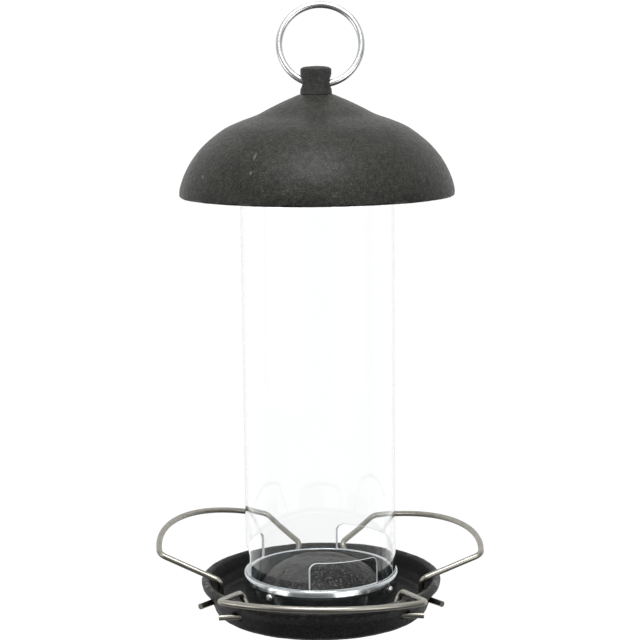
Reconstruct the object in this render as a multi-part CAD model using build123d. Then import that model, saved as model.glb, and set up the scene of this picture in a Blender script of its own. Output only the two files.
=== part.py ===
from build123d import *
from math import asin, cos, hypot, radians, sin, tan
import os

# Hanging tube feeder for garden birds. Millimetres, +Z up, front towards -Y.
# The origin is the centre of the tray's underside, the face that it stands on.
# An azimuth is measured from the front (-Y) towards +X, in degrees.

os.makedirs("parts", exist_ok=True)

GAP = 0.05          # between two pieces of the same rigid body
RUN = 0.3           # between pieces that move past each other
SHEET = 0.6         # galvanised sheet of the collars

# ---- driving heights
FLOOR_TOP = 6.5     # tray floor, inside
LIP = 24.0          # lip of the lower collar, which is also the sill of the ports
TUBE_TOP = 274.0
ROOF_EDGE = 249.2   # lowest edge of the roof
ROOF_SEAT = 307.6   # flat seat of the knob on the roof
KNOB_TOP = 323.9

# ---- tray and its seed dome
TRAY_FOOT_R = 61.5
TRAY_RECESS_R = 54.0
TRAY_RECESS = 4.0
DOME_BASE_R = 40.0
DOME_WALL = 3.0
BASE_BOLT_R = 3.0

# ---- feed tube and ports
TUBE_R = 45.0
TUBE_WALL = 1.5
PORT_AZIMUTHS = (19.5, 138.4, 263.0)
PORT_HALF_ANGLE = 28.3
PORT_HEIGHT = 16.4
PORT_CORNER = 4.5
PORT_SILL_CORNER = 1.2

# ---- collars and their screws
COLLAR_IN = TUBE_R + 0.1
COLLAR_OUT = COLLAR_IN + SHEET
BEAD_OUT = 46.8
BEAD_HEIGHT = 4.4
LINER_OUT = TUBE_R - TUBE_WALL - 0.1
LINER_IN = LINER_OUT - SHEET
SCREW_R = 1.5
SCREW_HEAD_R = 2.2
SCREW_HEAD_H = 2.0
NUT_FLATS = 5.5
NUT_H = 2.2
LOWER_SCREW_Z = 17.2
LOWER_SCREW_AZIMUTHS = (-41.0, 62.0, 200.0)
UPPER_COLLAR_BOTTOM = 252.5
UPPER_SCREW_Z = 258.0
UPPER_SCREW_AZIMUTHS = (90.0, 270.0)

# ---- bridge that carries the load from the stud to the upper collar
BRIDGE_TOP = 268.0
BRIDGE_T = 2.5
BRIDGE_HALF = 41.6
BRIDGE_WIDTH = 14.0
BRIDGE_TAB = 16.0
STUD_R = 3.0
STUD_BOTTOM = 254.0
STUD_TOP = 309.4
BRIDGE_NUT_H = 5.0
BRIDGE_NUT_FLATS = 10.0

# ---- roof
ROOF_WALL = 3.0
SKIRT_IN = COLLAR_OUT + 0.4
SKIRT_OUT = SKIRT_IN + 2.5
SKIRT_BOTTOM = 264.5
ROOF_BOSS_R = 10.0
ROOF_BOSS_BOTTOM = 299.2

# ---- knob, ring
KNOB_R = 9.3
KNOB_WAIST_R = 8.8
KNOB_HEAD_R = 9.0
SPIGOT_R = 5.0
SPIGOT_BOTTOM = 295.6
CLIP_Z = 296.8
CLIP_T = 0.9
RING_HOLE_R = 4.0
RING_HOLE_Z = 314.6
RING_R = 23.9
RING_WIRE_R = 2.0
RING_SHIFT = 2.65   # the ring hangs a little to one side in its hole
RING_LEAN = 17.5    # degrees, away from the front

# ---- perches: one bent wire each. Local frame: t along the chord, r outward, z up.
WIRE_R = 1.75
PERCH_HOLE_R = 2.75
PERCH_PIVOT = (46.1, 9.8)           # r and z of the line through a perch's two holes
PERCH_STUB_TIP = (59.2, 48.0)       # t and r: the stubs splay a little
PERCH_STUB_BEND = (40.6, 45.2)      # t and r
PERCH_HOOK = (46.3, 42.2, 22.6)     # top of the leg inside the rim
PERCH_CORNER = (58.2, 77.0)         # t and r where the arm meets the bar
# Each wire is bent by hand: azimuth, height of its first and last corner, height and r of the
# middle of its bar, and how far the bar sits off centre along t.
PERCHES = {
    "perch_front": (0.0, 28.4, 26.9, 30.4, 99.6, 0.8),
    "perch_left": (-120.0, 34.7, 37.5, 44.5, 99.1, 0.2),
    "perch_right": (120.0, 35.3, 32.9, 39.7, 97.4, 0.6),
}


def polar(radius, azimuth, z=0.0):
    """The point at that distance from the axis, at that azimuth."""
    a = radians(azimuth)
    return (radius * sin(a), -radius * cos(a), z)


def turned(profile):
    """Revolves a closed profile of (radius, height) points, or a face, about Z."""
    if not isinstance(profile, (Face, Sketch)):
        corners = [(r, 0, z) for r, z in profile]
        profile = make_face(Polyline(*corners, close=True))
    return revolve(profile, Axis.Z)


def rod(radius, start, end):
    """A round bar between two points."""
    start = Vector(*start)
    end = Vector(*end)
    way = end - start
    return Plane(origin=start, z_dir=way) * Cylinder(
        radius, way.length, align=(Align.CENTER, Align.CENTER, Align.MIN)
    )


def tube_band(outer, inner, bottom, top):
    return turned([(inner, bottom), (outer, bottom), (outer, top), (inner, top)])


def save(node, shape):
    """Writes the node's STEP: one solid, or a group of separate solids."""
    if isinstance(shape, (list, tuple)):
        shape = Compound(children=[Solid(s.solid().wrapped) for s in shape])
    shape.label = node
    export_step(shape, f"parts/{node}.step")


# ---------------------------------------------------------------- tray
def perch_place(azimuth, t, r, z):
    """A point of a perch's local frame, in the part's frame."""
    a = radians(azimuth)
    return (r * sin(a) + t * cos(a), -r * cos(a) + t * sin(a), z)


def make_tray():
    outside = [
        (TRAY_FOOT_R, 0),
        (63.9, 2.0),
        (65.2, 5.6),
        (67.5, 11.0),
        (71.3, 15.6),
        (72.0, 18.4),
        (70.4, 21.0),
    ]
    inside = [(67.2, 19.2), (65.0, 12.0), (62.0, FLOOR_TOP)]
    under = [
        (BASE_BOLT_R + RUN, FLOOR_TOP),
        (BASE_BOLT_R + RUN, TRAY_RECESS),
        (TRAY_RECESS_R, TRAY_RECESS),
        (TRAY_RECESS_R + 1.0, 0),
    ]
    corners = [(r, 0, z) for r, z in outside + inside + under]
    face = make_face(Polyline(*corners, close=True))
    rounds = {
        (TRAY_FOOT_R, 0): 1.2,
        (65.2, 5.6): 2.0,
        (71.3, 15.6): 2.0,
        (72.0, 18.4): 1.4,
        (70.4, 21.0): 1.9,
        (67.2, 19.2): 2.2,
        (62.0, FLOOR_TOP): 2.0,
    }
    for (r, z), radius in rounds.items():
        corner = face.vertices().sort_by_distance((r, 0, z))[0]
        face = fillet([corner], radius)
    tray = turned(face)
    pivot_r, pivot_z = PERCH_PIVOT
    for azimuth, *_ in PERCHES.values():
        for side in (-1, 1):
            start = perch_place(azimuth, side * PERCH_STUB_BEND[0], pivot_r, pivot_z)
            end = perch_place(azimuth, side * PERCH_STUB_TIP[0], pivot_r, pivot_z)
            tray -= rod(PERCH_HOLE_R, start, end)
    return tray


def make_seed_dome():
    """A hollow cast mound that pushes the seed out towards the ports."""
    base = FLOOR_TOP + SHEET + GAP
    crown = 31.0
    outer = Spline(
        (0, 0, crown),
        (17.0, 0, crown - 1.3),
        (26.5, 0, crown - 5.6),
        (33.0, 0, crown - 11.5),
        (DOME_BASE_R, 0, base + 1.5),
        tangents=[(1, 0, 0), (0.45, 0, -1)],
    )
    inner = Spline(
        (DOME_BASE_R - DOME_WALL - 1.0, 0, base),
        (30.0, 0, crown - 14.5),
        (24.5, 0, crown - 9.0),
        (16.0, 0, crown - 4.7),
        (0, 0, crown - DOME_WALL),
        tangents=[(-0.45, 0, 1), (-1, 0, 0)],
    )
    foot = Polyline(
        (DOME_BASE_R, 0, base + 1.5),
        (DOME_BASE_R, 0, base),
        (DOME_BASE_R - DOME_WALL - 1.0, 0, base),
    )
    axis = Line((0, 0, crown - DOME_WALL), (0, 0, crown))
    shell = turned(make_face([outer, foot, inner, axis]))
    boss = rod(7.5, (0, 0, base), (0, 0, crown - 1.5))
    bore = rod(BASE_BOLT_R + GAP, (0, 0, base), (0, 0, base + 14.0))
    return shell + boss - bore


def make_base_bolt():
    """Pan-head bolt from below, through the tray and the collar into the dome's boss."""
    head_top = TRAY_RECESS - 1.0 - GAP
    head = turned([(0, 0.8), (4.2, 0.8), (5.4, 1.6), (5.4, head_top), (0, head_top)])
    shank = rod(BASE_BOLT_R, (0, 0, head_top), (0, 0, FLOOR_TOP + SHEET + 12.5))
    socket = Pos(0, 0, 0.8) * extrude(RegularPolygon(2.3, 6), 1.4)
    return head + shank - socket


def make_base_washer():
    return tube_band(9.0, BASE_BOLT_R + 0.2, TRAY_RECESS - 1.0, TRAY_RECESS - GAP)


# ---------------------------------------------------------------- tube and collars
def port_cutter(azimuth):
    """A block with rounded corners, through the tube wall at one port."""
    half_width = (TUBE_R - TUBE_WALL / 2) * sin(radians(PORT_HALF_ANGLE))
    width = 2 * half_width
    block = Pos(0, -TUBE_R + 8, LIP) * Box(
        width, 30, PORT_HEIGHT, align=(Align.CENTER, Align.CENTER, Align.MIN)
    )
    uprights = block.edges().filter_by(Axis.Y)
    block = fillet(uprights.group_by(Axis.Z)[-1], PORT_CORNER)
    low = block.edges().filter_by(Axis.Y).group_by(Axis.Z)[0]
    block = fillet(low, PORT_SILL_CORNER)
    return Rot(0, 0, azimuth) * block


def screw_hole(azimuth, z, radius):
    return rod(radius, polar(36.0, azimuth, z), polar(52.0, azimuth, z))


def make_feed_tube():
    tube = tube_band(TUBE_R, TUBE_R - TUBE_WALL, FLOOR_TOP + SHEET + GAP, TUBE_TOP)
    for azimuth in PORT_AZIMUTHS:
        tube -= port_cutter(azimuth)
    for azimuth in LOWER_SCREW_AZIMUTHS:
        tube -= screw_hole(azimuth, LOWER_SCREW_Z, SCREW_R + 0.2)
    for azimuth in UPPER_SCREW_AZIMUTHS:
        tube -= screw_hole(azimuth, UPPER_SCREW_Z, SCREW_R + 0.2)
    return tube


def make_lower_collar():
    """A sheet cup round the foot of the tube, with a flared band rolled at its lip."""
    bead_low = LIP - BEAD_HEIGHT
    rim = LIP - 0.1
    widest = (BEAD_OUT, 0, bead_low + 0.6)
    under = ThreePointArc((COLLAR_OUT, 0, bead_low), (BEAD_OUT - 0.3, 0, bead_low + 0.1), widest)
    flare = ThreePointArc(widest, (COLLAR_OUT + 0.85, 0, LIP - 1.8), (COLLAR_OUT - 0.1, 0, rim))
    rest = Polyline(
        (COLLAR_OUT - 0.1, 0, rim),
        (COLLAR_IN, 0, rim),
        (COLLAR_IN, 0, FLOOR_TOP + SHEET),
        (BASE_BOLT_R + RUN, 0, FLOOR_TOP + SHEET),
        (BASE_BOLT_R + RUN, 0, FLOOR_TOP),
        (COLLAR_OUT, 0, FLOOR_TOP),
        (COLLAR_OUT, 0, bead_low),
    )
    collar = turned(make_face([under, flare, rest]))
    for azimuth in LOWER_SCREW_AZIMUTHS:
        collar -= screw_hole(azimuth, LOWER_SCREW_Z, SCREW_R + 0.1)
    return collar


def make_liner_ring():
    """The band inside the tube. Its rolled top edge is the bright line at the sill."""
    bead_r = 0.4
    band = tube_band(LINER_OUT, LINER_IN, FLOOR_TOP + SHEET + GAP, LIP - bead_r)
    bead = Pos(0, 0, LIP - bead_r) * Torus(LINER_OUT - bead_r, bead_r)
    ring = band + bead
    for azimuth in LOWER_SCREW_AZIMUTHS:
        ring -= screw_hole(azimuth, LOWER_SCREW_Z, SCREW_R + 0.1)
    return ring


def make_upper_collar():
    collar = turned(
        [
            (COLLAR_IN, UPPER_COLLAR_BOTTOM),
            (COLLAR_OUT, UPPER_COLLAR_BOTTOM),
            (COLLAR_OUT, TUBE_TOP + 0.1 + SHEET),
            (TUBE_R - TUBE_WALL, TUBE_TOP + 0.1 + SHEET),
            (TUBE_R - TUBE_WALL, TUBE_TOP + 0.1),
            (COLLAR_IN, TUBE_TOP + 0.1),
        ]
    )
    for azimuth in UPPER_SCREW_AZIMUTHS:
        collar -= screw_hole(azimuth, UPPER_SCREW_Z, SCREW_R + 0.1)
    return collar


def make_screw(azimuth, z, inner_end):
    """Round-head machine screw that points inward, with a cross recess."""
    seat = COLLAR_OUT + 0.15
    dome = Sphere(SCREW_HEAD_R * 1.08)
    dome = Pos(0, 0, SCREW_HEAD_H - SCREW_HEAD_R * 1.08) * dome
    head = Cylinder(SCREW_HEAD_R, SCREW_HEAD_H, align=(Align.CENTER, Align.CENTER, Align.MIN)) & dome
    slots = Box(2.6, 0.6, 1.6) + Box(0.6, 2.6, 1.6)
    head -= Pos(0, 0, SCREW_HEAD_H) * slots
    shank = Pos(0, 0, -(seat - inner_end)) * Cylinder(
        SCREW_R, seat - inner_end + 0.2, align=(Align.CENTER, Align.CENTER, Align.MIN)
    )
    outward = Vector(*polar(1.0, azimuth))
    return Plane(origin=polar(seat, azimuth, z), z_dir=outward) * (head + shank)


def make_nut(azimuth, z, face_at):
    """Hexagon nut inside the tube, its outer face at that distance from the axis."""
    inward = Vector(*polar(-1.0, azimuth))
    blank = extrude(RegularPolygon(NUT_FLATS / 2, 6, major_radius=False), NUT_H)
    blank -= Cylinder(SCREW_R + 0.03, 3 * NUT_H)
    return Plane(origin=polar(face_at, azimuth, z), z_dir=inward) * blank


def make_bridge():
    """A flat bar across the top of the tube, its ends turned down and screwed to the collar."""
    top = Pos(0, 0, BRIDGE_TOP) * Box(
        2 * BRIDGE_HALF, BRIDGE_WIDTH, BRIDGE_TAB, align=(Align.CENTER, Align.CENTER, Align.MAX)
    )
    inside = Pos(0, 0, BRIDGE_TOP - BRIDGE_T) * Box(
        2 * (BRIDGE_HALF - BRIDGE_T), BRIDGE_WIDTH, BRIDGE_TAB, align=(Align.CENTER, Align.CENTER, Align.MAX)
    )
    inside = fillet(inside.edges().filter_by(Axis.Y).group_by(Axis.Z)[-1], 1.5)
    top = fillet(top.edges().filter_by(Axis.Y).group_by(Axis.Z)[-1], 1.5 + BRIDGE_T)
    bridge = top - inside
    bridge -= rod(STUD_R + 0.2, (0, 0, BRIDGE_TOP - 10), (0, 0, BRIDGE_TOP + 1))
    for azimuth in UPPER_SCREW_AZIMUTHS:
        bridge -= screw_hole(azimuth, UPPER_SCREW_Z, SCREW_R + 0.1)
    return bridge


def make_bridge_nut():
    top = BRIDGE_TOP - BRIDGE_T - GAP
    blank = Pos(0, 0, top - BRIDGE_NUT_H) * extrude(
        RegularPolygon(BRIDGE_NUT_FLATS / 2, 6, major_radius=False), BRIDGE_NUT_H
    )
    return blank - rod(STUD_R + GAP, (0, 0, top - 8), (0, 0, top + 1))


# ---------------------------------------------------------------- roof
ROOF_OUTLINE = [
    (KNOB_R + 0.6, ROOF_SEAT),
    (18.2, 304.1),
    (26.6, 300.1),
    (34.5, 296.0),
    (44.5, 292.4),
    (53.9, 288.0),
    (64.2, 280.0),
    (71.4, 272.0),
    (76.3, 264.0),
    (79.4, 256.0),
    (80.1, 251.9),
]


def inset(points, depth):
    """The outline moved inward by depth, square to its own direction."""
    moved = []
    for i, (r, z) in enumerate(points):
        before = points[max(i - 1, 0)]
        after = points[min(i + 1, len(points) - 1)]
        run = after[0] - before[0]
        drop = after[1] - before[1]
        length = hypot(run, drop)
        moved.append((r + depth * drop / length, z - depth * run / length))
    return moved


def make_roof():
    outer_points = [(r, 0, z) for r, z in ROOF_OUTLINE]
    inner_points = [(r, 0, z) for r, z in inset(ROOF_OUTLINE, ROOF_WALL)]
    outer = Spline(*outer_points)
    inner = Spline(*inner_points)
    top_hole = SPIGOT_R + RUN
    first_in = inner_points[0]
    last_in = inner_points[-1]
    crown = Polyline(
        outer_points[0], (top_hole, 0, ROOF_SEAT), (top_hole, 0, first_in[2]), first_in
    )
    edge = Polyline(
        outer_points[-1],
        (79.9, 0, ROOF_EDGE + 0.8),
        (79.1, 0, ROOF_EDGE),
        (77.6, 0, ROOF_EDGE),
        (last_in[0], 0, ROOF_EDGE + 0.8),
        last_in,
    )
    shell = turned(make_face([outer, edge, inner, crown]))
    boss = tube_band(ROOF_BOSS_R, top_hole, ROOF_BOSS_BOTTOM, ROOF_SEAT - 1.5)
    ceiling = 289.5
    skirt = turned(
        [
            (SKIRT_IN, SKIRT_BOTTOM),
            (SKIRT_OUT, SKIRT_BOTTOM),
            (SKIRT_OUT, ceiling - 1.5),
            (SKIRT_IN, ceiling),
            (SKIRT_IN, TUBE_TOP + 4.0),
            (TUBE_R - 1.5, TUBE_TOP + 4.0),
            (TUBE_R - 1.5, TUBE_TOP + 1.1),
            (SKIRT_IN, TUBE_TOP + 1.1),
        ]
    )
    return shell + boss + skirt


# ---------------------------------------------------------------- knob, stud and ring
def make_knob():
    """The cast knob. Its spigot passes through the roof, and the ring through its cross hole."""
    base = ROOF_SEAT + 0.2
    waist_z = base + 0.42 * (KNOB_TOP - base)
    widest = (KNOB_HEAD_R, 0, KNOB_TOP - 2.3)
    shoulder_top = (KNOB_HEAD_R - 2.9, 0, KNOB_TOP - 0.4)
    side = ThreePointArc((KNOB_R, 0, base), (KNOB_WAIST_R, 0, waist_z), widest)
    shoulder = ThreePointArc(widest, (KNOB_HEAD_R - 0.7, 0, KNOB_TOP - 1.2), shoulder_top)
    dome = TangentArc((0, 0, KNOB_TOP), shoulder_top, tangent=(1, 0, 0))
    rest = Polyline(
        (0, 0, KNOB_TOP),
        (0, 0, SPIGOT_BOTTOM),
        (SPIGOT_R, 0, SPIGOT_BOTTOM),
        (SPIGOT_R, 0, base),
        (KNOB_R, 0, base),
    )
    knob = turned(make_face([side, shoulder, dome, rest]))
    hole = rod(RING_HOLE_R, (-12, 0, RING_HOLE_Z), (12, 0, RING_HOLE_Z))
    stud_bore = rod(STUD_R + GAP, (0, 0, SPIGOT_BOTTOM - 1), (0, 0, STUD_TOP + 0.2))
    groove = tube_band(SPIGOT_R + 1, SPIGOT_R - 0.8, CLIP_Z, CLIP_Z + CLIP_T + 0.1)
    return knob - hole - stud_bore - groove


def make_knob_stud():
    stud = rod(STUD_R, (0, 0, STUD_BOTTOM), (0, 0, STUD_TOP))
    return chamfer(stud.edges().filter_by(GeomType.CIRCLE), 0.5)


def make_knob_washer():
    top = ROOF_BOSS_BOTTOM - 0.2
    return tube_band(9.2, SPIGOT_R + 0.1, top - 1.0, top)


def make_knob_clip():
    """Spring clip in the spigot's groove, open on one side."""
    clip = tube_band(7.4, SPIGOT_R - 0.75, CLIP_Z + 0.05, CLIP_Z + CLIP_T)
    mouth = Pos(0, 6, CLIP_Z) * Box(3.2, 8, 4)
    return clip - mouth


def make_hanging_ring():
    drop = RING_R - 1.35        # from the ring's centre down to the middle of its hole
    ring = Rot(90, 0, 0) * Torus(RING_R, RING_WIRE_R)
    ring = Pos(RING_SHIFT, 0, drop) * ring
    return Pos(0, 0, RING_HOLE_Z) * Rot(-RING_LEAN, 0, 0) * ring


# ---------------------------------------------------------------- perches
def perch_route(first_z, last_z, middle_z, reach, offset):
    """Corner points of one wire and the radius of each bend, from stub tip to stub tip."""
    corner_t, corner_r = PERCH_CORNER
    rise = reach - corner_r
    bow = (corner_t**2 + rise**2) / (2 * rise)      # radius of the bar in plan
    sweep_angle = asin(corner_t / bow)
    crown = middle_z - (first_z + last_z) / 2
    spans = 8
    bar = []
    for i in range(1, spans):
        a = sweep_angle * (2 * i / spans - 1)
        t = bow * sin(a)
        r = reach - bow * (1 - cos(a))
        level = first_z + (last_z - first_z) * (t / corner_t + 1) / 2
        bar.append((t + offset, r, level + crown * (r - corner_r) / rise))
    stub_z = PERCH_PIVOT[1]
    leg = [
        (PERCH_STUB_TIP[0], PERCH_STUB_TIP[1], stub_z),
        (PERCH_STUB_BEND[0], PERCH_STUB_BEND[1], stub_z),
        PERCH_HOOK,
    ]
    first_leg = [(-t, r, z) for t, r, z in leg]
    first_corner = (offset - corner_t, corner_r, first_z)
    last_corner = (offset + corner_t, corner_r, last_z)
    points = first_leg + [first_corner] + bar + [last_corner] + leg[::-1]
    run = 2 * bow * sin(sweep_angle / spans)
    bend = 0.45 * run / tan(sweep_angle / spans)
    radii = [3.2, 4.5, 6.0] + [bend] * len(bar) + [6.0, 4.5, 3.2]
    return points, radii


def make_perch(azimuth, *bends):
    points, radii = perch_route(*bends)
    placed = [perch_place(azimuth, t, r, z) for t, r, z in points]
    path = FilletPolyline(*placed, radius=radii)
    section = Plane(origin=path @ 0, z_dir=path % 0) * Circle(WIRE_R)
    return sweep(section, path=path)


# ---------------------------------------------------------------- write every node
save("tray", make_tray())
save("seed_dome", make_seed_dome())
save("base_bolt", make_base_bolt())
save("base_washer", make_base_washer())
save("feed_tube", make_feed_tube())
save("lower_collar", make_lower_collar())
save("liner_ring", make_liner_ring())
save("lower_screws", [make_screw(a, LOWER_SCREW_Z, 39.0) for a in LOWER_SCREW_AZIMUTHS])
save("lower_nuts", [make_nut(a, LOWER_SCREW_Z, LINER_IN - 0.2) for a in LOWER_SCREW_AZIMUTHS])
save("upper_collar", make_upper_collar())
save("bridge", make_bridge())
save("bridge_nut", make_bridge_nut())
save("upper_screws", [make_screw(a, UPPER_SCREW_Z, 35.5) for a in UPPER_SCREW_AZIMUTHS])
nut_seat = BRIDGE_HALF - BRIDGE_T - GAP
save("upper_nuts", [make_nut(a, UPPER_SCREW_Z, nut_seat) for a in UPPER_SCREW_AZIMUTHS])
save("roof", make_roof())
save("knob", make_knob())
save("knob_stud", make_knob_stud())
save("knob_washer", make_knob_washer())
save("knob_clip", make_knob_clip())
save("hanging_ring", make_hanging_ring())
for perch_name, bends in PERCHES.items():
    save(perch_name, make_perch(*bends))
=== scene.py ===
import math

import bmesh
import bpy
from mathutils import Matrix, Vector, noise


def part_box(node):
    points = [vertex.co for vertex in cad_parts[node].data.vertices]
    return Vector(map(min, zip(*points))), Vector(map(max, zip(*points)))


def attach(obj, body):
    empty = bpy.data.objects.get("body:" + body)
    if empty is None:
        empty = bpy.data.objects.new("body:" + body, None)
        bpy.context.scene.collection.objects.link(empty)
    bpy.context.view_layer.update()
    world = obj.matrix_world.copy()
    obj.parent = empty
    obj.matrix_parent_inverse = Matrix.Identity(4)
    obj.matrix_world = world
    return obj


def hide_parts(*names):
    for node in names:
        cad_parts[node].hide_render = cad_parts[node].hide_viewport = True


# A hanging tube feeder for birds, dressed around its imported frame. Metres, +Z up, front towards -Y.
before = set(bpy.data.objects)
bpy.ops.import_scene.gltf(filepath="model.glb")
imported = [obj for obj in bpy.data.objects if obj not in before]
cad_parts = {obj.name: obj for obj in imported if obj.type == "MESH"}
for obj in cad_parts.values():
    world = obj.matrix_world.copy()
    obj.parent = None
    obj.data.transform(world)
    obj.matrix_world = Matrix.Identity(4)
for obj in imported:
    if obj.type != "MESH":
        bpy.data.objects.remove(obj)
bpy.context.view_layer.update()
MM = 0.001


# ------------------------------------------------------------------ outlines of turned pieces
def bounds_mm(node):
    """Lowest and highest corner of a CAD node, in millimetres."""
    low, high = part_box(node)
    return [c / MM for c in low], [c / MM for c in high]


def smooth_run(points, pieces):
    """A Catmull-Rom curve through the points, in that many pieces from each to the next."""
    run = []
    last = len(points) - 1
    for i in range(last):
        p0 = Vector(points[max(i - 1, 0)])
        p1 = Vector(points[i])
        p2 = Vector(points[i + 1])
        p3 = Vector(points[min(i + 2, last)])
        for k in range(pieces):
            t = k / pieces
            a = 2 * p1 + (p2 - p0) * t
            b = (2 * p0 - 5 * p1 + 4 * p2 - p3) * t * t
            c = (3 * p1 - p0 - 3 * p2 + p3) * t * t * t
            run.append(tuple(0.5 * (a + b + c)))
    run.append(tuple(points[-1]))
    return run


def round_corner(before, corner, after, radius, steps=6):
    """The arc that replaces one corner of an outline."""
    a = (Vector(before) - Vector(corner)).normalized()
    b = (Vector(after) - Vector(corner)).normalized()
    half = a.angle(b) / 2
    reach = radius / math.tan(half)
    start = Vector(corner) + a * reach
    end = Vector(corner) + b * reach
    centre = Vector(corner) + (a + b).normalized() * (radius / math.sin(half))
    arc = []
    for k in range(steps + 1):
        chord = start.lerp(end, k / steps)
        arc.append(tuple(centre + (chord - centre).normalized() * radius))
    return arc


def rounded(corners):
    """A closed outline from (r, z, radius) corners."""
    outline = []
    count = len(corners)
    for i, (r, z, radius) in enumerate(corners):
        if radius <= 0:
            outline.append((r, z))
            continue
        before = corners[i - 1][:2]
        after = corners[(i + 1) % count][:2]
        outline += round_corner(before, (r, z), after, radius)
    return outline


def evened(outline, step):
    """The closed outline with no span longer than step."""
    dense = []
    for i, p in enumerate(outline):
        q = outline[(i + 1) % len(outline)]
        span = math.hypot(q[0] - p[0], q[1] - p[1])
        parts = max(1, math.ceil(span / step))
        for k in range(parts):
            t = k / parts
            dense.append((p[0] + (q[0] - p[0]) * t, p[1] + (q[1] - p[1]) * t))
    return dense


def evened_open(points, step):
    """An open outline from axis to axis with no span longer than step."""
    dense = []
    for p, q in zip(points, points[1:]):
        parts = max(1, math.ceil(math.hypot(q[0] - p[0], q[1] - p[1]) / step))
        for k in range(parts):
            dense.append((p[0] + (q[0] - p[0]) * k / parts, p[1] + (q[1] - p[1]) * k / parts))
    dense.append(points[-1])
    return dense


# ------------------------------------------------------------------ mesh makers
def new_object(name, bm):
    """A smooth-shaded object made of the bmesh, which is used up."""
    mesh = bpy.data.meshes.new(name)
    bmesh.ops.recalc_face_normals(bm, faces=bm.faces)
    bm.to_mesh(mesh)
    bm.free()
    piece = bpy.data.objects.new(name, mesh)
    bpy.context.scene.collection.objects.link(piece)
    for face in mesh.polygons:
        face.use_smooth = True
    return piece


ON_AXIS = 1e-6      # an outline point with a smaller radius lies on the axis


def lathe(name, outline, segments):
    """Turns a closed outline of (r, z) millimetres about Z. Points on the axis close it with a fan.
    Segment 0 faces the front."""
    bm = bmesh.new()
    rings = []
    for r, z in outline:
        if r < ON_AXIS:
            rings.append([bm.verts.new((0, 0, z * MM))])
            continue
        ring = []
        for k in range(segments):
            a = 2 * math.pi * k / segments
            ring.append(bm.verts.new((r * math.sin(a) * MM, -r * math.cos(a) * MM, z * MM)))
        rings.append(ring)
    for i, lower in enumerate(rings):
        upper = rings[(i + 1) % len(rings)]
        if len(lower) == 1 and len(upper) == 1:
            continue    # both on the axis: nothing between them
        for k in range(segments):
            n = (k + 1) % segments
            if len(lower) == 1:
                bm.faces.new((lower[0], upper[k], upper[n]))
            elif len(upper) == 1:
                bm.faces.new((lower[k], lower[n], upper[0]))
            else:
                bm.faces.new((lower[k], lower[n], upper[n], upper[k]))
    return new_object(name, bm)


def roughen(piece, layers):
    """Moves each vertex along its normal by layers of (feature size in mm, depth in mm)."""
    mesh = piece.data
    moved = []
    for v in mesh.vertices:
        shift = 0.0
        for size, depth in layers:
            shift += depth * noise.noise(v.co / (size * MM))
        moved.append(v.co + v.normal * (shift * MM))
    for v, co in zip(mesh.vertices, moved):
        v.co = co
    mesh.update()


def cut(piece, cutter):
    """Takes the cutter's shape out of the piece, and deletes the cutter."""
    modifier = piece.modifiers.new("cut", "BOOLEAN")
    modifier.operation = "DIFFERENCE"
    modifier.solver = "EXACT"
    modifier.object = cutter
    depsgraph = bpy.context.evaluated_depsgraph_get()
    mesh = bpy.data.meshes.new_from_object(piece.evaluated_get(depsgraph))
    piece.modifiers.clear()
    piece.data = mesh
    bpy.data.objects.remove(cutter)


def round_bar(name, radius, start, end, sides=48):
    """A closed round bar between two points in millimetres."""
    start = Vector(start) * MM
    end = Vector(end) * MM
    turn = (end - start).to_track_quat("Z", "Y").to_matrix().to_4x4()
    place = Matrix.Translation((start + end) / 2) @ turn
    bm = bmesh.new()
    bmesh.ops.create_cone(
        bm, cap_ends=True, segments=sides, radius1=radius * MM, radius2=radius * MM,
        depth=(end - start).length, matrix=place,
    )
    return new_object(name, bm)


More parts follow.
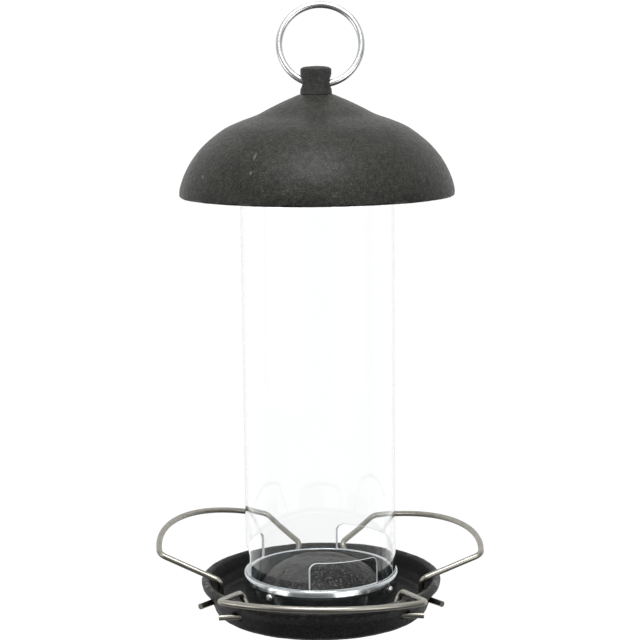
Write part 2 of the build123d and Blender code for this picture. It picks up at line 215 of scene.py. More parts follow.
# ------------------------------------------------------------------ materials
class Shader:
    """A small helper that wires the nodes of one material."""

    def __init__(self, name):
        self.material = bpy.data.materials.new(name)
        self.material.use_nodes = True
        self.tree = self.material.node_tree
        self.main = self.tree.nodes["Principled BSDF"]
        self.coords = self.tree.nodes.new("ShaderNodeTexCoord")

    def node(self, kind, **values):
        """A new node, with settings by their own name and sockets by theirs, spaces as underscores."""
        node = self.tree.nodes.new(kind)
        for key, value in values.items():
            if hasattr(node, key):
                setattr(node, key, value)
            else:
                node.inputs[key.replace("_", " ")].default_value = value
        return node

    def link(self, source, target):
        self.tree.links.new(source, target)

    def grain(self, size_mm, detail=2.0, rough=0.5):
        """Noise whose features are about that many millimetres across."""
        grain = self.node("ShaderNodeTexNoise", Detail=detail, Roughness=rough)
        grain.inputs["Scale"].default_value = 1.0 / (size_mm * MM)
        self.link(self.coords.outputs["Object"], grain.inputs["Vector"])
        return grain.outputs["Fac"]

    def cells(self, size_mm):
        """Voronoi cells about that many millimetres across."""
        cells = self.node("ShaderNodeTexVoronoi")
        cells.inputs["Scale"].default_value = 1.0 / (size_mm * MM)
        self.link(self.coords.outputs["Object"], cells.inputs["Vector"])
        return cells

    def ramp(self, source, stops):
        """A colour ramp of (position, value or colour) stops."""
        ramp = self.node("ShaderNodeValToRGB")
        bar = ramp.color_ramp
        while len(bar.elements) < len(stops):
            bar.elements.new(0.5)
        for element, (at, colour) in zip(bar.elements, stops):
            element.position = at
            if not isinstance(colour, tuple):
                colour = (colour, colour, colour)
            element.color = (*colour, 1.0)
        self.link(source, ramp.inputs["Fac"])
        return ramp.outputs["Color"]

    def mix(self, share, first, second, blend="MIX"):
        """Two colours mixed or multiplied. Each value may be a number, a colour or a socket."""
        mix = self.node("ShaderNodeMix", data_type="RGBA", blend_type=blend)
        # A Mix node keeps its share in input 0, its colours in inputs 6 and 7 and their mix in output 2.
        for socket, value in ((mix.inputs[0], share), (mix.inputs[6], first), (mix.inputs[7], second)):
            if hasattr(value, "is_output"):
                self.link(value, socket)
            elif isinstance(value, tuple):
                socket.default_value = (*value, 1.0)
            else:
                socket.default_value = value
        return mix.outputs[2]

    def bumps(self, layers):
        """Stacked bump nodes of (height source, strength, depth in mm)."""
        normal = None
        for source, strength, depth in layers:
            bump = self.node("ShaderNodeBump")
            bump.inputs["Strength"].default_value = strength
            bump.inputs["Distance"].default_value = depth * MM
            self.link(source, bump.inputs["Height"])
            if normal:
                self.link(normal, bump.inputs["Normal"])
            normal = bump.outputs["Normal"]
        self.link(normal, self.main.inputs["Normal"])

    def set(self, **values):
        """Sets sockets of the main shader by name, spaces as underscores."""
        for key, value in values.items():
            self.main.inputs[key.replace("_", " ")].default_value = value


GREY_WORN = (0.22, 0.22, 0.21)      # metal where its coat is rubbed through
# the colour that painted shade darkens a coat towards
PAINTED_SHADE_BLACK = (0.0, 0.0, 0.0)


def cast_coat(name, deep, mid, pale, roughness, shine):
    """Rough cast metal under a thin powder coat: speckle of three tones, soft mottling and pits.
    The vertex marks "wear" and "shade" take it towards rubbed metal and towards black, the second as
    painted shade."""
    s = Shader(name)
    speckle = s.grain(0.75, detail=5.0, rough=0.75)
    patches = s.grain(2.6, detail=3.0, rough=0.6)
    mottle = s.grain(16.0, detail=3.0)
    pits = s.cells(1.5)
    base = s.ramp(speckle, [(0.36, deep), (0.52, mid), (0.66, pale)])
    base = s.mix(1.0, base, s.ramp(patches, [(0.34, 0.72), (0.66, 1.28)]), "MULTIPLY")
    base = s.mix(1.0, base, s.ramp(mottle, [(0.30, 0.88), (0.70, 1.12)]), "MULTIPLY")
    holes = s.ramp(pits.outputs["Distance"], [(0.0, 0.50), (0.20, 1.0)])
    base = s.mix(0.7, base, holes, "MULTIPLY")
    wear = s.node("ShaderNodeAttribute", attribute_name="wear").outputs["Fac"]
    base = s.mix(wear, base, GREY_WORN)
    # painted shade: the "shade" mark darkens the coat towards black
    shade = s.node("ShaderNodeAttribute", attribute_name="shade").outputs["Fac"]
    base = s.mix(shade, base, PAINTED_SHADE_BLACK)
    s.link(base, s.main.inputs["Base Color"])
    rough = s.ramp(s.grain(2.2), [(0.25, roughness - 0.08), (0.75, roughness + 0.10)])
    s.link(rough, s.main.inputs["Roughness"])
    s.bumps([(patches, 0.5, 0.20), (pits.outputs["Distance"], 0.4, 0.12), (speckle, 0.8, 0.16)])
    s.set(Specular_IOR_Level=shine)
    return s.material


def zinc_sheet(name, tint, low, high):
    """Galvanised sheet: crystals of slightly different tone, with faint ripples from rolling.
    Its roughness varies from low to high."""
    s = Shader(name)
    crystals = s.cells(5.0)
    tone = s.ramp(crystals.outputs["Color"], [(0.0, tuple(0.90 * c for c in tint)), (1.0, tint)])
    s.link(tone, s.main.inputs["Base Color"])
    rough = s.ramp(s.grain(3.0, detail=3.0), [(0.3, low), (0.7, high)])
    s.link(rough, s.main.inputs["Roughness"])
    ripple = s.grain(9.0, detail=1.0)
    s.bumps([(ripple, 0.20, 0.25), (s.grain(0.6), 0.08, 0.03)])
    s.set(Metallic=1.0)
    return s.material


def drawn_wire(name, tint, low, high, depth):
    """Drawn wire: satin, a little stained, with a fine grain of that depth in millimetres.
    Its roughness varies from low to high."""
    s = Shader(name)
    stain = s.grain(7.0, detail=3.0)
    tone = s.ramp(stain, [(0.35, tuple(0.80 * c for c in tint)), (0.65, tint)])
    s.link(tone, s.main.inputs["Base Color"])
    rough = s.ramp(s.grain(1.2, detail=3.0), [(0.3, low), (0.7, high)])
    s.link(rough, s.main.inputs["Roughness"])
    s.bumps([(s.grain(0.35, detail=2.0), 0.15, depth)])
    s.set(Metallic=1.0)
    return s.material


ACRYLIC_IOR = 1.49


def clear_acrylic(name):
    """Clear tube. Lamps shine through it, as acrylic lets them."""
    s = Shader(name)
    s.set(Base_Color=(0.985, 0.992, 0.992, 1.0), Roughness=0.0, IOR=ACRYLIC_IOR, Transmission_Weight=1.0)
    tree = s.tree
    out = tree.nodes["Material Output"]
    path = s.node("ShaderNodeLightPath")
    clear = s.node("ShaderNodeBsdfTransparent")
    clear.inputs["Color"].default_value = (0.93, 0.94, 0.94, 1.0)
    mix = s.node("ShaderNodeMixShader")
    s.link(path.outputs["Is Shadow Ray"], mix.inputs[0])
    s.link(s.main.outputs["BSDF"], mix.inputs[1])
    s.link(clear.outputs["BSDF"], mix.inputs[2])
    s.link(mix.outputs["Shader"], out.inputs["Surface"])
    return s.material


def sawn_acrylic(name):
    """The sawn edge of the acrylic: pale grey and slightly rough, so it catches the light."""
    s = Shader(name)
    s.set(Base_Color=(0.62, 0.64, 0.64, 1.0), IOR=ACRYLIC_IOR, Transmission_Weight=0.15, Roughness=0.35)
    s.bumps([(s.grain(0.5), 0.2, 0.03)])
    return s.material


ROOF_COAT = cast_coat(
    "roof_coat", (0.012, 0.013, 0.011), (0.034, 0.035, 0.030), (0.082, 0.083, 0.075), 0.40, 0.17
)
TRAY_COAT = cast_coat(
    "tray_coat", (0.006, 0.006, 0.006), (0.024, 0.024, 0.023), (0.078, 0.079, 0.077), 0.46, 0.20
)
KNOB_COAT = cast_coat(
    "knob_coat", (0.020, 0.020, 0.019), (0.037, 0.037, 0.036), (0.068, 0.068, 0.066), 0.55, 0.28
)
ZINC = zinc_sheet("zinc", (0.74, 0.78, 0.80), 0.13, 0.27)
SCREW_ZINC = zinc_sheet("screw_zinc", (0.78, 0.78, 0.76), 0.15, 0.32)
STAINLESS = drawn_wire("stainless", (0.385, 0.37, 0.325), 0.30, 0.38, 0.002)
PLATED = drawn_wire("plated", (0.72, 0.74, 0.73), 0.26, 0.32, 0.0003)
ACRYLIC = clear_acrylic("acrylic")
FROSTED = sawn_acrylic("sawn_acrylic")


def coat(piece, material):
    """Gives the whole piece one material."""
    piece.data.materials.clear()
    piece.data.materials.append(material)


# ------------------------------------------------------------------ the nodes that keep their CAD shape
NODE_LOOKS = {
    ZINC: ["upper_collar"],
    SCREW_ZINC: [
        "lower_screws", "lower_nuts", "upper_screws", "upper_nuts", "bridge", "bridge_nut",
        "base_bolt", "base_washer", "knob_stud", "knob_washer", "knob_clip",
    ],
}
for look, nodes in NODE_LOOKS.items():
    for node in nodes:
        coat(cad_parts[node], look)


# ------------------------------------------------------------------ cast pieces
BOLT_HOLE = 3.3     # radius of the hole for the base bolt


def wear_marks(piece, share):
    """Stores how worn the coat is at each vertex: 0 sound, 1 rubbed through."""
    layer = piece.data.attributes.new("wear", "FLOAT", "POINT")
    layer.data.foreach_set("value", [share(v.co / MM) for v in piece.data.vertices])


def smoothstep(low, high, value):
    """0 below low, 1 above high, and a smooth rise between them."""
    t = min(1.0, max(0.0, (value - low) / (high - low)))
    return t * t * (3 - 2 * t)


def make_roof():
    """The cast dome with its rolled edge, and the skirt and boss inside it."""
    low, high = bounds_mm("roof")
    edge, seat, reach = low[2], high[2], high[0]
    knob_r = bounds_mm("knob")[1][0]
    hole = 5.3
    wall = 3.0
    shoulder = [
        (knob_r + 0.6, seat), (18.2, 304.1), (26.6, 300.1), (34.5, 296.0), (44.5, 292.4), (53.9, 288.0),
        (64.2, 280.0), (71.4, 272.0), (76.3, 264.0), (79.3, 256.0), (reach, edge + 2.7),
    ]
    outer = smooth_run(shoulder, 12)
    inner = []
    for i in range(len(outer) - 1, -1, -4):
        before = Vector(outer[max(i - 1, 0)])
        after = Vector(outer[min(i + 1, len(outer) - 1)])
        way = (after - before).normalized()
        inner.append((outer[i][0] + wall * way.y, outer[i][1] - wall * way.x))
    lip = round_corner(outer[-1], (reach, edge), (reach - wall, edge), 1.1)
    lip += round_corner((reach, edge), (reach - wall, edge), (inner[0][0], inner[0][1] + 2), 0.9)
    outline = [(hole, seat)] + outer + lip + inner + [(hole, seat - wall)]
    shell = lathe("roof_shell", evened(outline, 0.9), 512)
    roughen(shell, [(18.0, 0.14), (3.2, 0.07), (1.5, 0.06)])
    knocks = [(-0.52, 275.5, 0.30), (-0.50, 267.0, 0.7), (-0.98, 263.5, 0.7)]
    across = 90.0       # how fast a knock fades with azimuth

    def share(co):
        """Three knocks, each an azimuth, a height and a fading with height; and a chipped low edge."""
        azimuth = math.atan2(co.x, -co.y)
        worst = 0.0
        for at, z, fade in knocks:
            gap = math.hypot((azimuth - at) * across, (co.z - z) * fade)
            worst = max(worst, 1.0 - smoothstep(0.2, 0.9, gap))
        low_edge = 1.0 - smoothstep(0.2, 1.6, co.z - edge)
        chips = smoothstep(0.15, 0.45, noise.noise(co / 6.0)) * low_edge
        return max(worst, 0.6 * chips)

    wear_marks(shell, share)
    coat(shell, ROOF_COAT)
    skirt_in, skirt_out, skirt_foot = 46.1, 48.6, 264.5
    ledge_in, ledge_low, ledge_high = 43.5, 275.1, 278.0    # the ledge just over the upper collar
    skirt = lathe("roof_skirt", rounded([
        (skirt_in, skirt_foot, 0.5), (skirt_out, skirt_foot, 0.5), (skirt_out, 288.0, 0),
        (skirt_in, 289.5, 0), (skirt_in, ledge_high, 0), (ledge_in, ledge_high, 0.4),
        (ledge_in, ledge_low, 0.4), (skirt_in, ledge_low, 0),
    ]), 160)
    boss_out, boss_foot = 10.0, 299.2
    boss = lathe("roof_boss", rounded([
        (hole, boss_foot, 0.4), (boss_out, boss_foot, 0.8),
        (boss_out, seat - 1.5, 0), (hole, seat - 1.5, 0),
    ]), 96)
    for piece in (skirt, boss):
        wear_marks(piece, lambda co: 0.0)
        coat(piece, ROOF_COAT)
    for piece in (shell, skirt, boss):
        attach(piece, "roof")
        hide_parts("roof")


KNOB_HOLE_R = 4.0
KNOB_HOLE_Z = 314.6


def make_knob():
    """The cast knob with its cross hole, where the ring passes through."""
    low, high = bounds_mm("knob")
    reach, top, bottom = high[0], high[2], low[2]
    base = bounds_mm("roof")[1][2] + 0.2
    spigot = 5.0    # radius of the short spigot that turns in the roof
    side = [
        (reach, base), (reach - 0.3, base + 3.0), (reach - 0.5, base + 6.5), (reach - 0.42, base + 10.0),
        (reach - 0.3, top - 2.3), (reach - 1.0, top - 1.2), (reach - 3.2, top - 0.4), (0.0, top),
    ]
    outline = [(0.0, bottom), (spigot, bottom), (spigot, base), (reach - 0.5, base)] + smooth_run(side, 10)
    knob = lathe("knob_body", evened_open(outline, 0.5), 256)
    roughen(knob, [(7.0, 0.12), (1.6, 0.05)])
    cut(knob, round_bar("hole", KNOB_HOLE_R, (-14, 0, KNOB_HOLE_Z), (14, 0, KNOB_HOLE_Z), 64))

    def share(co):
        """Worn round the ends of the cross hole, where the ring rubs."""
        edge = math.hypot(co.y, co.z - KNOB_HOLE_Z)
        worn = 1.0 - smoothstep(KNOB_HOLE_R, KNOB_HOLE_R + 1.2, edge)
        return 0.7 * worn * smoothstep(-0.1, 0.4, noise.noise(co / 2.5))

    wear_marks(knob, share)
    coat(knob, KNOB_COAT)
    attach(knob, "hanger")
    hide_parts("knob")


PERCH_AZIMUTHS = {"perch_front": 0.0, "perch_left": -120.0, "perch_right": 120.0}
PIVOT_R, PIVOT_Z = 46.1, 9.8
PIVOT_HOLE = 2.75
FOOT_T = 40.6       # the feet of a perch's legs are this far to each side of its middle


def perch_point(azimuth, t, r, z):
    """The point r out from the axis towards the azimuth in degrees, t across from there, and z up."""
    a = math.radians(azimuth)
    return Vector((r * math.sin(a) + t * math.cos(a), -r * math.cos(a) + t * math.sin(a), z))


# How dark the painted shade makes the inside of the tray and the whole seed dome
TRAY_PAINTED_SHADE = 0.72
DOME_PAINTED_SHADE = 0.55


def inside_painted_shade(vertex):
    """Painted shade: how much darker the tray is drawn inside, on its inner wall and floor, where the lamps
    reach it less.
    """
    radial = Vector((vertex.co.x, vertex.co.y, 0))
    facing = vertex.normal.dot(radial.normalized()) if radial.length > 0 else 0.0
    floor = smoothstep(0.5, 0.9, vertex.normal.z) * (1.0 - smoothstep(58.0, 62.0, radial.length / MM))
    return TRAY_PAINTED_SHADE * max(smoothstep(0.15, 0.6, -facing), floor)


def make_tray():
    """The cast tray: thick flared rim, foot ring, and the six holes that the perches turn in."""
    reach = bounds_mm("tray")[1][0]
    outline = rounded([
        (54.0, 4.0, 1.0), (55.0, 0, 0.8), (61.5, 0, 1.2), (63.9, 2.0, 1.5), (65.2, 5.6, 2.0),
        (67.5, 11.0, 6.0), (71.3, 15.6, 2.0), (reach + 0.1, 18.4, 1.4), (70.4, 21.0, 1.7),
        (67.2, 19.2, 2.2), (65.0, 12.0, 5.0), (62.0, 6.5, 2.0), (BOLT_HOLE, 6.5, 0), (BOLT_HOLE, 4.0, 0),
    ])
    tray = lathe("tray_casting", evened(outline, 0.8), 448)
    roughen(tray, [(11.0, 0.18), (2.4, 0.07), (1.2, 0.05)])
    for v in tray.data.vertices:
        v.co.z = max(v.co.z, 0.0)
    for azimuth in PERCH_AZIMUTHS.values():
        for side in (-1, 1):
            start = perch_point(azimuth, side * FOOT_T, PIVOT_R, PIVOT_Z)
            end = perch_point(azimuth, side * 62.0, PIVOT_R, PIVOT_Z)
            cut(tray, round_bar("hole", PIVOT_HOLE, start, end))
    rests = []
    for azimuth in PERCH_AZIMUTHS.values():
        for side in (-1, 1):
            rests.append(perch_point(azimuth, side * 50.5, 51.5, 20.0))

    def share(co):
        """Worn along the crest and the outer corner of the rim, most where the perches cross it."""
        r = math.hypot(co.x, co.y)
        patchy = noise.noise(co / 3.2) + 0.5 * noise.noise(co / 1.1)
        crest = smoothstep(19.0, 20.4, co.z) * smoothstep(66.0, 69.5, r)
        kink = 1.0 - smoothstep(0.3, 1.4, abs(co.z - 15.4)) if r > 69.5 else 0.0
        rubbed = max(1.0 - smoothstep(3.0, 11.0, (co - rest).length) for rest in rests)
        worn = 0.42 * crest + 0.25 * kink + 0.9 * rubbed * max(crest, 0.4)
        return worn * smoothstep(-0.15, 0.55, patchy)

    wear_marks(tray, share)
    # painted shade on the inside of the tray, stored as its "shade" mark
    painted_shade = tray.data.attributes.new("shade", "FLOAT", "POINT")
    painted_shade.data.foreach_set("value", [inside_painted_shade(v) for v in tray.data.vertices])
    coat(tray, TRAY_COAT)
    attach(tray, "root")
    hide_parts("tray")


def make_seed_dome():
    """The mound in the middle of the tray, coarser than the rest of the casting."""
    low, high = bounds_mm("seed_dome")
    base, crown, foot = low[2], high[2], high[0]
    inner_foot = foot - 4.0
    outer = smooth_run([
        (0.0, crown), (8.5, crown - 0.3), (17.0, crown - 1.3), (26.5, crown - 5.6),
        (33.0, crown - 11.5), (foot, base + 1.5),
    ], 12)
    inner = smooth_run([
        (inner_foot, base), (30.0, crown - 14.5), (24.5, crown - 9.0), (16.0, crown - 4.7),
        (0.0, crown - 3.0),
    ], 5)
    outline = [(0.0, crown)] + outer[1:] + [(foot, base), (inner_foot, base)] + inner[1:]
    dome = lathe("dome_casting", evened_open(outline, 0.55), 360)
    roughen(dome, [(5.0, 0.20), (1.8, 0.10), (1.1, 0.07)])
    for v in dome.data.vertices:
        v.co.z = max(v.co.z, base * MM)
    wear_marks(dome, lambda co: 0.75 * smoothstep(0.10, 0.55, noise.noise(co / 1.1)))
    # painted shade over the whole seed dome, which sits down in the tray, stored as its "shade" mark
    painted_shade = dome.data.attributes.new("shade", "FLOAT", "POINT")
    painted_shade.data.foreach_set("value", [DOME_PAINTED_SHADE] * len(dome.data.vertices))
    coat(dome, TRAY_COAT)
    boss_in, boss_out, boss_top = 3.1, 7.5, crown - 3.2
    boss = lathe("dome_boss", rounded([
        (boss_in, base, 0), (boss_out, base, 0), (boss_out, boss_top, 0.5), (boss_in, boss_top, 0),
    ]), 64)
    wear_marks(boss, lambda co: 0.0)
    coat(boss, TRAY_COAT)
    for piece in (dome, boss):
        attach(piece, "root")
        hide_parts("seed_dome")


# ------------------------------------------------------------------ tube and lower collar
TUBE_WALL = 1.5
EDGE_FACING = 0.5       # a face that looks less along the radius than this is a sawn edge
PORTS_END = 70.0        # the ports are all lower than this, in millimetres
RIM_R = 0.20


def make_tube():
    """The clear tube. The sawn edges of its ports and ends are frosted, and its normals are
    those of true cylinders, so that what shows through it stays unbroken."""
    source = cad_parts["feed_tube"]
    tube = bpy.data.objects.new("tube_clear", source.data.copy())
    bpy.context.scene.collection.objects.link(tube)
    coat(tube, ACRYLIC)
    tube.data.materials.append(FROSTED)
    normals = [None] * len(tube.data.loops)
    for face in tube.data.polygons:
        outward = Vector((face.center.x, face.center.y, 0)).normalized()
        facing = face.normal.dot(outward)
        face.use_smooth = True
        sawn = abs(facing) < EDGE_FACING
        face.material_index = 1 if sawn else 0
        for k in face.loop_indices:
            co = tube.data.vertices[tube.data.loops[k].vertex_index].co
            radial = Vector((co.x, co.y, 0)).normalized()
            normals[k] = face.normal.copy() if sawn else radial * math.copysign(1.0, facing)
    tube.data.normals_split_custom_set(normals)
    rims = port_rims(tube)
    coat(rims, FROSTED)
    for piece in (tube, rims):
        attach(piece, "root")
        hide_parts("feed_tube")


def port_rims(tube):
    """The bright edge over the top and down the sides of each port, in the middle of the wall."""
    bm = bmesh.new()
    bm.from_mesh(tube.data)
    bmesh.ops.remove_doubles(bm, verts=bm.verts, dist=0.002 * MM)
    neighbours = {}
    sill = bounds_mm("lower_collar")[1][2] + 1.5
    for edge in bm.edges:
        z = (edge.verts[0].co.z + edge.verts[1].co.z) / 2 / MM
        if len(edge.link_faces) != 2 or not sill < z < PORTS_END:
            continue
        outward = Vector((edge.verts[0].co.x, edge.verts[0].co.y, 0)).normalized()
        facing = sorted(face.normal.dot(outward) for face in edge.link_faces)
        if facing[1] > 0.9 and abs(facing[0]) < EDGE_FACING:
            a, b = edge.verts
            neighbours.setdefault(a, []).append(b)
            neighbours.setdefault(b, []).append(a)
    curve = bpy.data.curves.new("rims", "CURVE")
    curve.dimensions = "3D"
    curve.bevel_depth = RIM_R * MM
    curve.bevel_resolution = 3
    left = set(neighbours)
    for end in [v for v in neighbours if len(neighbours[v]) == 1]:
        if end not in left:
            continue
        walk = [end]
        left.remove(end)
        while True:
            onward = [v for v in neighbours[walk[-1]] if v in left]
            if not onward:
                break
            walk.append(onward[0])
            left.remove(onward[0])
        spline = curve.splines.new("POLY")
        spline.points.add(len(walk) - 1)
        for point, vert in zip(spline.points, walk):
            inward = Vector((vert.co.x, vert.co.y, 0)).normalized() * TUBE_WALL / 2 * MM
            point.co = (*(vert.co - inward), 1.0)
    bm.free()
    shape = bpy.data.objects.new("rims", curve)
    bpy.context.scene.collection.objects.link(shape)
    bpy.context.view_layer.update()
    mesh = bpy.data.meshes.new_from_object(shape.evaluated_get(bpy.context.evaluated_depsgraph_get()))
    bpy.data.objects.remove(shape)
    rims = bpy.data.objects.new("tube_port_edges", mesh)
    bpy.context.scene.collection.objects.link(rims)
    for face in mesh.polygons:
        face.use_smooth = True
    return rims


SHEET = 0.6


def make_collar():
    """The galvanised cup round the foot of the tube, with a rolled band at its lip."""
    low, high = bounds_mm("lower_collar")
    floor, lip, bead = low[2], high[2], high[0]
    inside = 45.1
    outside = inside + SHEET
    low_edge = lip - 4.4
    roll = smooth_run([
        (bead - 0.25, low_edge + 0.12), (bead, low_edge + 0.6), (bead - 0.12, lip - 2.9),
        (outside + 0.68, lip - 1.3), (outside + 0.2, lip - 0.25), (outside - 0.25, lip - 0.02),
    ], 6)
    outline = [(BOLT_HOLE, floor), (outside - 0.8, floor), (outside - 0.23, floor + 0.23)]
    outline += [(outside, floor + 0.8), (outside, low_edge - 0.1), (outside + 0.5, low_edge)] + roll
    outline += [(inside, lip - 0.2), (inside, floor + SHEET), (BOLT_HOLE, floor + SHEET)]
    collar = lathe("collar_cup", evened(outline, 1.2), 360)
    for v in collar.data.vertices:
        r = math.hypot(v.co.x, v.co.y)
        if r < 0.045 or v.co.z > (lip - 5.0) * MM or v.co.z < (floor + 1.5) * MM:
            continue    # only the plain wall is a little uneven
        v.co += v.co.normalized() * 0.05 * MM * noise.noise(v.co / (7.0 * MM))
    cut_screws(collar)
    coat(collar, ZINC)
    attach(collar, "root")
    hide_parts("lower_collar")


def make_liner():
    """The galvanised band inside the tube, with a fine wired edge level with the sills."""
    low, high = bounds_mm("liner_ring")
    outside, top, bottom = high[0], high[2], low[2]
    bead = 0.25     # radius of the wired edge
    steps = 16
    edge = []
    for k in range(steps + 1):
        a = math.pi * (1.15 - 1.3 * k / steps)      # from just below its inner side to just below its outer
        edge.append((outside - bead + bead * math.cos(a), top - bead + bead * math.sin(a)))
    outline = [(outside, bottom)] + edge[::-1] + [(outside - SHEET, bottom)]
    liner = lathe("liner_band", evened(outline, 1.2), 320)
    cut_screws(liner)
    coat(liner, ZINC)
    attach(liner, "root")
    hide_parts("liner_ring")


SCREW_AZIMUTHS = (-41.0, 62.0, 200.0)
SCREW_HOLE = 1.6


def cut_screws(piece):
    """Takes the three screw holes out of the wall of the collar or the liner."""
    screw_z = sum(c[2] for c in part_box("lower_screws")) / 2 / MM
    for azimuth in SCREW_AZIMUTHS:
        way = perch_point(azimuth, 0, 1.0, 0)
        start, end = way * 39.0, way * 50.0
        start.z = end.z = screw_z
        cut(piece, round_bar("hole", SCREW_HOLE, start, end, 24))


# ------------------------------------------------------------------ wires
WIRE_SIDES = 64
PERCH_WIRE_R = 1.75
RING_WIRE_R = 2.0


def wire(name, line, radius, closed=False):
    """A round wire along a run of points in millimetres, with its ends cut square."""
    points = [Vector(p) for p in line]
    count = len(points)
    bm = bmesh.new()
    side = None
    loops = []
    for i, point in enumerate(points):
        if closed:
            way = points[(i + 1) % count] - points[i - 1]
        else:
            way = points[min(i + 1, count - 1)] - points[max(i - 1, 0)]
        way.normalize()
        if side is None:
            side = way.orthogonal()
        side = (side - way * side.dot(way)).normalized()
        third = way.cross(side)
        loop = []
        for k in range(WIRE_SIDES):
            a = 2 * math.pi * k / WIRE_SIDES
            loop.append(bm.verts.new((point + (side * math.cos(a) + third * math.sin(a)) * radius) * MM))
        loops.append(loop)
    for i in range(count if closed else count - 1):
        beyond = loops[(i + 1) % count]
        for k in range(WIRE_SIDES):
            n = (k + 1) % WIRE_SIDES
            bm.faces.new((loops[i][k], beyond[k], beyond[n], loops[i][n]))
    if not closed:
        bm.faces.new(loops[0][::-1])
        bm.faces.new(loops[-1])
    piece = new_object(name, bm)
    piece.data.set_sharp_from_angle(angle=math.radians(60))     # the rims of the cut ends
    return piece


# For each perch: height where the first arm meets the bar, where the last arm meets it, height of
# the bar's middle, how far out that middle is, and how far the bar sits to one side.
PERCH_BENDS = {
    "perch_front": (28.4, 26.9, 30.4, 99.6, 0.8),
    "perch_left": (34.7, 37.5, 44.5, 99.1, 0.2),
    "perch_right": (35.3, 32.9, 39.7, 97.4, 0.6),
}


def perch_line(first_z, last_z, middle_z, reach, offset):
    """The centre line of a perch as (t, r, z): stub, leg, arm, bowed bar, and back."""
    corner_t, corner_r = 58.2, 77.0
    rise = reach - corner_r
    bow = (corner_t ** 2 + rise ** 2) / (2 * rise)
    sweep = math.asin(corner_t / bow)
    crown = middle_z - (first_z + last_z) / 2
    # The stub's end outside the tray, the foot of the leg inside it, and the top of the leg.
    leg = [(59.2, 48.0, PIVOT_Z), (FOOT_T, 45.2, PIVOT_Z), (46.3, 42.2, 22.6)]
    leg_bends = [3.2, 4.5, 6.0]     # bend radii at the foot, at the top and where the arm meets the bar
    spans = 8
    bar = []
    for i in range(1, spans):
        a = sweep * (2 * i / spans - 1)
        t = bow * math.sin(a)
        r = reach - bow * (1 - math.cos(a))
        level = first_z + (last_z - first_z) * (t / corner_t + 1) / 2
        bar.append((t + offset, r, level + crown * (r - corner_r) / rise))
    points = [(-t, r, z) for t, r, z in leg] + [(offset - corner_t, corner_r, first_z)]
    points += bar + [(offset + corner_t, corner_r, last_z)] + leg[::-1]
    # Each corner between the bar's spans is rounded over 0.45 of the span to either side.
    bend = 0.45 * 2 * bow * math.sin(sweep / spans) / math.tan(sweep / spans)
    radii = leg_bends + [bend] * len(bar) + leg_bends[::-1]
    line = [points[0]]
    for before, corner, after, radius in zip(points, points[1:], points[2:], radii):
        line += round_corner(before, corner, after, radius, 10)
    return line + [points[-1]]


def make_perches():
    """The three bent stainless wires."""
    for node, bends in PERCH_BENDS.items():
        line = [perch_point(PERCH_AZIMUTHS[node], *point) for point in perch_line(*bends)]
        perch = wire(node + "_wire", line, PERCH_WIRE_R)
        coat(perch, STAINLESS)
        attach(perch, node)
        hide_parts(node)


def make_ring():
    """The plated ring: a true round of wire through the knob's cross hole."""
    low, high = bounds_mm("hanging_ring")
    radius = (high[0] - low[0]) / 2 - RING_WIRE_R
    lean = math.acos(((high[2] - low[2]) / 2 - RING_WIRE_R) / radius)
    spans = 200
    centre = Vector([(a + b) / 2 for a, b in zip(low, high)])
    across = Vector((1, 0, 0))
    up = Vector((0, math.sin(lean), math.cos(lean)))
    line = []
    for i in range(spans):
        a = 2 * math.pi * i / spans
        line.append(centre + (across * math.cos(a) + up * math.sin(a)) * radius)
    ring = wire("ring_wire", line, RING_WIRE_R, closed=True)
    coat(ring, PLATED)
    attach(ring, "ring")
    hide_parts("hanging_ring")


make_perches()
make_ring()
make_roof()
make_knob()
make_tray()
make_seed_dome()
make_tube()
make_collar()
make_liner()


# ------------------------------------------------------------------ stage, light and camera
WHITE_GLOW = 1.05       # the background, bright enough to stay white through the tube
BACK_GLOW = 1.0         # the studio's brightness behind the object,
FRONT_GLOW = 0.22       # in front of it,
TOP_GLOW = 0.70         # above it,
FLOOR_GLOW = 0.45       # and the share of it that is left below
DIFFUSE_LOSS = 0.86     # how much weaker the studio's soft light is than its reflections
AIM = (0.0, 0.0, 0.17)
CAMERA_BACK = 1.0297
CAMERA_HEIGHT = 0.3342
CAMERA_PITCH = math.radians(8.76)
CAMERA_ROLL = math.radians(-0.58)
CAMERA_YAW = math.radians(-0.052)
CAMERA_LENS = 99.4      # millimetres, on a sensor of the width below
SENSOR_WIDTH = 36.0


def soft_box(name, place, size, power):
    """A rectangular lamp aimed at the middle of the feeder."""
    light = bpy.data.lights.new(name, "AREA")
    light.shape = "RECTANGLE"
    light.size, light.size_y = size
    light.energy = power
    lamp = bpy.data.objects.new(name, light)
    lamp.location = place
    lamp.rotation_euler = (Vector(AIM) - Vector(place)).to_track_quat("-Z", "Y").to_euler()
    bpy.context.scene.collection.objects.link(lamp)


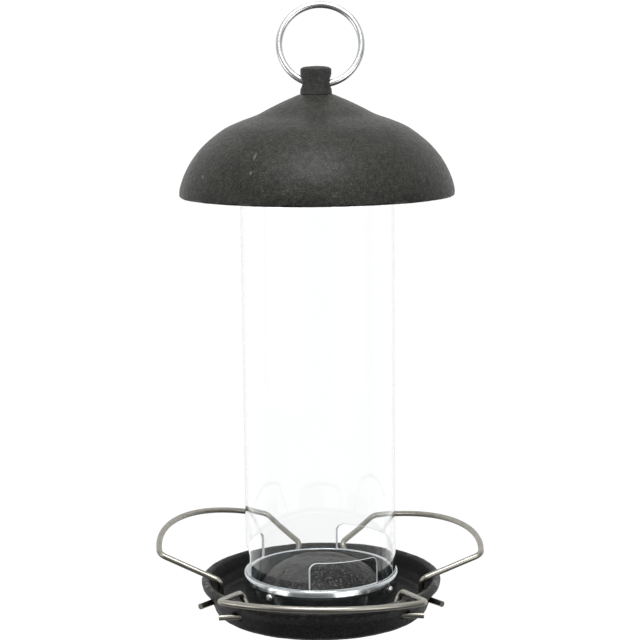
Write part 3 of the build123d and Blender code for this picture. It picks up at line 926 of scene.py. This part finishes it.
def studio_world():
    """White all round for what shows directly or through the tube. Reflections and soft light
    come from a studio that is white behind the object, darker in front and dim below."""
    world = bpy.data.worlds.new("studio")
    world.use_nodes = True
    tree = world.node_tree
    background = tree.nodes["Background"]
    coords = tree.nodes.new("ShaderNodeTexCoord")
    axes = tree.nodes.new("ShaderNodeSeparateXYZ")
    tree.links.new(coords.outputs["Generated"], axes.inputs["Vector"])

    def ranged(source, low, high, start, end):
        """Goes smoothly from start to end while the source goes from low to high."""
        node = tree.nodes.new("ShaderNodeMapRange")
        node.interpolation_type = "SMOOTHSTEP"
        for name, value in (("From Min", low), ("From Max", high), ("To Min", start), ("To Max", end)):
            node.inputs[name].default_value = value
        tree.links.new(source, node.inputs["Value"])
        return node.outputs["Result"]

    def combine(operation, first, second):
        """A maths node over two numbers or sockets."""
        node = tree.nodes.new("ShaderNodeMath")
        node.operation = operation
        for socket, value in zip(node.inputs, (first, second)):
            if hasattr(value, "is_output"):
                tree.links.new(value, socket)
            else:
                socket.default_value = value
        return node.outputs["Value"]

    behind = ranged(axes.outputs["Y"], -0.15, 0.35, FRONT_GLOW, BACK_GLOW)
    above = ranged(axes.outputs["Z"], 0.10, 0.50, 0.0, TOP_GLOW)
    below = ranged(axes.outputs["Z"], -0.75, -0.15, FLOOR_GLOW, 1.0)
    studio = combine("MULTIPLY", combine("MAXIMUM", behind, above), below)
    path = tree.nodes.new("ShaderNodeLightPath")
    # Every other ray gets the studio, and so does the soft light, for which every flag is 0.
    white = combine("MAXIMUM", path.outputs["Is Camera Ray"], path.outputs["Is Transmission Ray"])
    dull = combine("SUBTRACT", 1.0, path.outputs["Is Glossy Ray"])
    dimmed = combine("MULTIPLY", studio, combine("SUBTRACT", 1.0, combine("MULTIPLY", dull, DIFFUSE_LOSS)))
    seen = combine("MULTIPLY", white, WHITE_GLOW)
    glow = combine("ADD", seen, combine("MULTIPLY", combine("SUBTRACT", 1.0, white), dimmed))
    background.inputs["Color"].default_value = (1.0, 1.0, 1.0, 1.0)
    tree.links.new(glow, background.inputs["Strength"])
    bpy.context.scene.world = world


studio_world()
soft_box("left_box", (-1.08, -0.53, 0.17), (0.66, 0.56), 3.2)
soft_box("right_box", (0.72, -0.96, 0.20), (0.74, 0.70), 4.2)
soft_box("front_top", (-0.03, -0.72, 1.45), (0.9, 0.6), 16.5)
soft_box("overhead", (-0.03, -0.30, 1.7), (0.8, 0.6), 5.0)

camera_data = bpy.data.cameras.new("camera")
camera_data.lens = CAMERA_LENS
camera_data.sensor_width = SENSOR_WIDTH
camera = bpy.data.objects.new("camera", camera_data)
upright = Matrix.Rotation(CAMERA_YAW, 4, "Z") @ Matrix.Rotation(math.pi / 2 - CAMERA_PITCH, 4, "X")
roll = Matrix.Rotation(CAMERA_ROLL, 4, "Z")
camera.matrix_world = Matrix.Translation((0, -CAMERA_BACK, CAMERA_HEIGHT)) @ upright @ roll
bpy.context.scene.collection.objects.link(camera)
bpy.context.scene.camera = camera
bpy.context.scene.view_settings.view_transform = "Standard"
